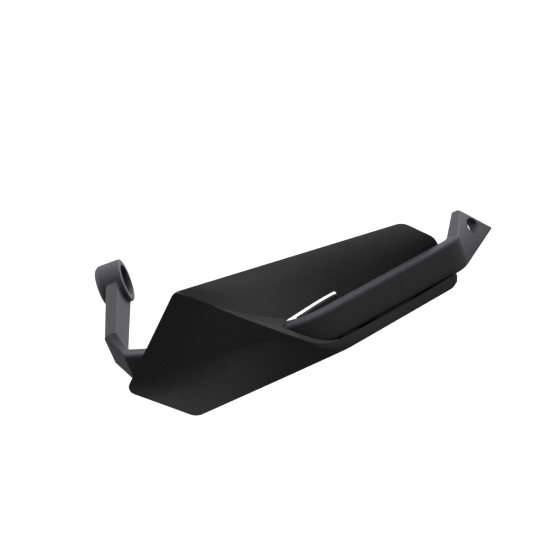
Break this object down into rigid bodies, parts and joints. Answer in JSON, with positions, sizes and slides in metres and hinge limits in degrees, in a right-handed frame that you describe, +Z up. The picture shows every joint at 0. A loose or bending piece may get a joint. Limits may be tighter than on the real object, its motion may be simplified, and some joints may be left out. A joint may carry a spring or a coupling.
{
  "type": "motorcycle handguard",
  "caption": "Right-hand motorcycle handguard: a bent moulded backbone bar from a bar-end boss to an inner lug, carrying a faceted moulded shield with a window and a trough for the bar.",
  "frame": {"origin": "centre of the bar-end seat on the boss's inner face, on the handlebar's axis", "axes": "+X runs inward along the handlebar to the lug, +Y runs back to the rider, +Z is up"},
  "size_m": [0.2271, 0.1128, 0.0777],
  "materials": {
    "bar_nylon": "glass-filled nylon, fine satin grain",
    "shield_plastic": "black moulded polypropylene, fine matt grain",
    "screw_steel": "zinc-plated steel",
    "insert_brass": "turned brass"
  },
  "bodies": {
    "root": {"backbone_bar": "bar_nylon", "shield": "shield_plastic", "shield_screws": "screw_steel", "screw_washers": "screw_steel", "threaded_inserts": "insert_brass"}
  },
  "joints": []
}
